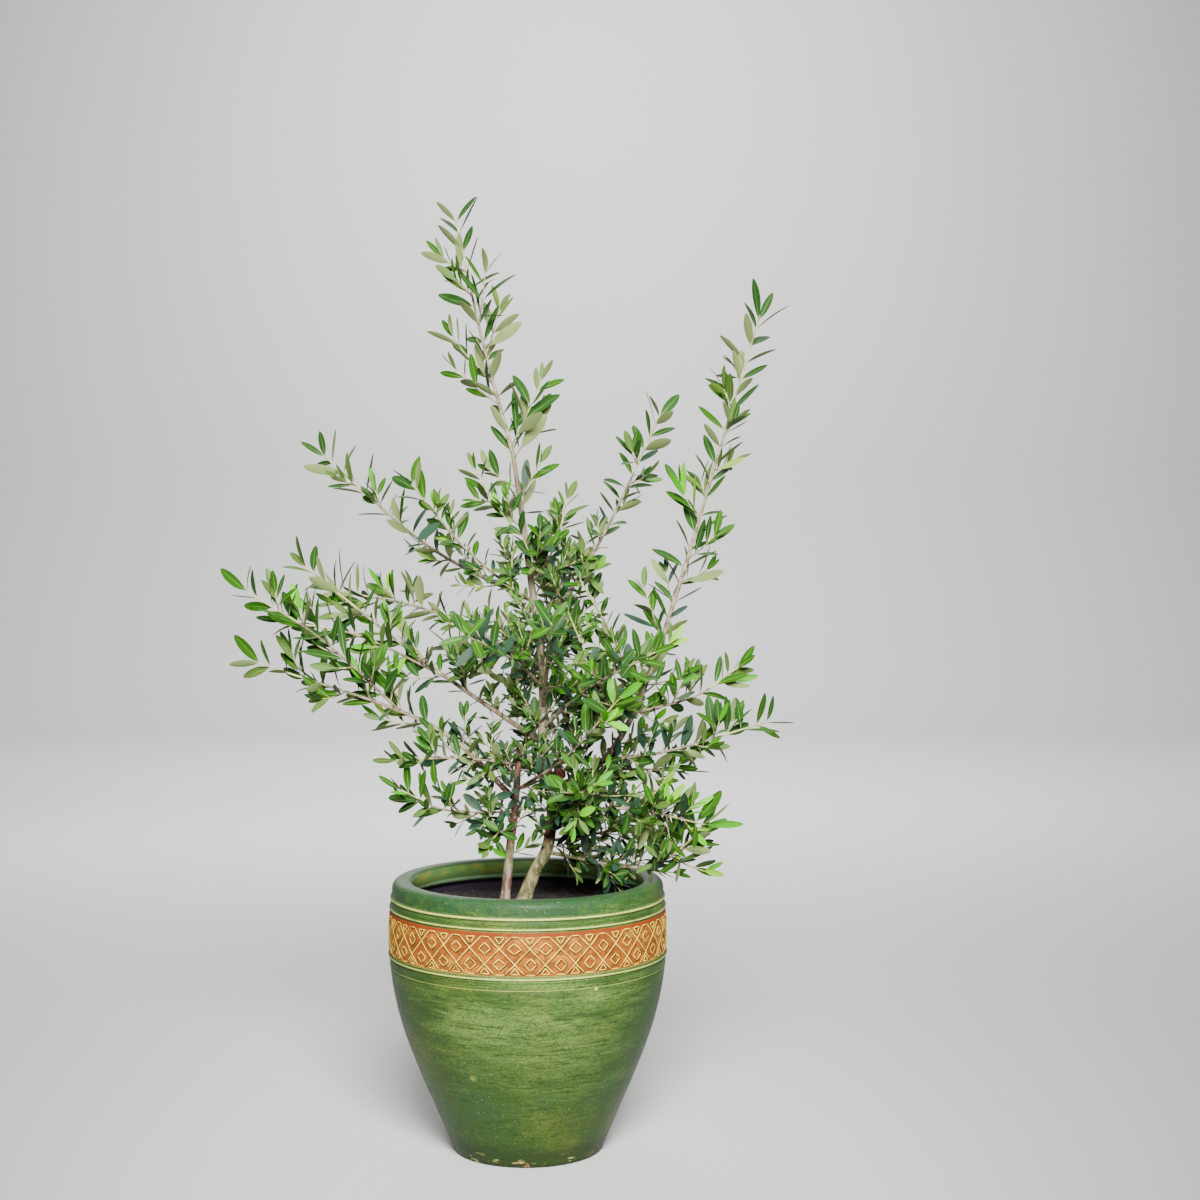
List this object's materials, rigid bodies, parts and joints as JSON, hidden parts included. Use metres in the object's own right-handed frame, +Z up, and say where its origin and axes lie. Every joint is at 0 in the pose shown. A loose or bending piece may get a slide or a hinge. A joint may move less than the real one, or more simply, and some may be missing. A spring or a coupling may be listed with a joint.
{
  "type": "potted olive tree",
  "caption": "Young multi-stemmed olive tree with small leaves, standing in a round green glazed terracotta pot with a carved band.",
  "frame": {"origin": "centre of the pot's flat underside, on the ground", "axes": "+Z up, +X to the right seen from the front, -Y towards the viewer"},
  "size_m": [0.7999, 0.5082, 1.3851],
  "materials": {
    "glaze": "semi-gloss green glaze over terracotta",
    "compost": "rough, damp and dark",
    "bark": "dry grey-brown bark",
    "foliage": "leathery leaves, dark above and pale beneath"
  },
  "bodies": {
    "root": {"bough_back_high": "bark", "bough_back_left": "bark", "bough_back_right": "bark", "bough_front_centre": "bark", "bough_front_high": "bark", "bough_front_left": "bark", "bough_front_right": "bark", "bough_left_high": "bark", "bough_left_mid": "bark", "bough_left_reach": "bark", "bough_left_rise": "bark", "bough_right_arch": "bark", "bough_right_low": "bark", "bough_right_main": "bark", "bough_right_rim": "bark", "bough_right_rise": "bark", "bough_right_short": "bark", "foliage_back_high": "foliage", "foliage_back_left": "foliage", "foliage_back_low": "foliage", "foliage_back_right": "foliage", "foliage_front_centre": "foliage", "foliage_front_high": "foliage", "foliage_front_left": "foliage", "foliage_front_low": "foliage", "foliage_front_right": "foliage", "foliage_leader": "foliage", "foliage_left_droop": "foliage", "foliage_left_high": "foliage", "foliage_left_inner": "foliage", "foliage_left_low": "foliage", "foliage_left_mid": "foliage", "foliage_left_reach": "foliage", "foliage_left_rise": "foliage", "foliage_left_twig": "foliage", "foliage_right_arch": "foliage", "foliage_right_front": "foliage", "foliage_right_lean": "foliage", "foliage_right_low": "foliage", "foliage_right_main": "foliage", "foliage_right_rim": "foliage", "foliage_right_rise": "foliage", "foliage_right_short": "foliage", "foliage_right_side": "foliage", "foliage_top_back": "foliage", "foliage_top_left": "foliage", "foliage_top_right": "foliage", "pot": "glaze", "second_stem": "bark", "soil": "compost", "trunk": "bark"}
  },
  "joints": []
}
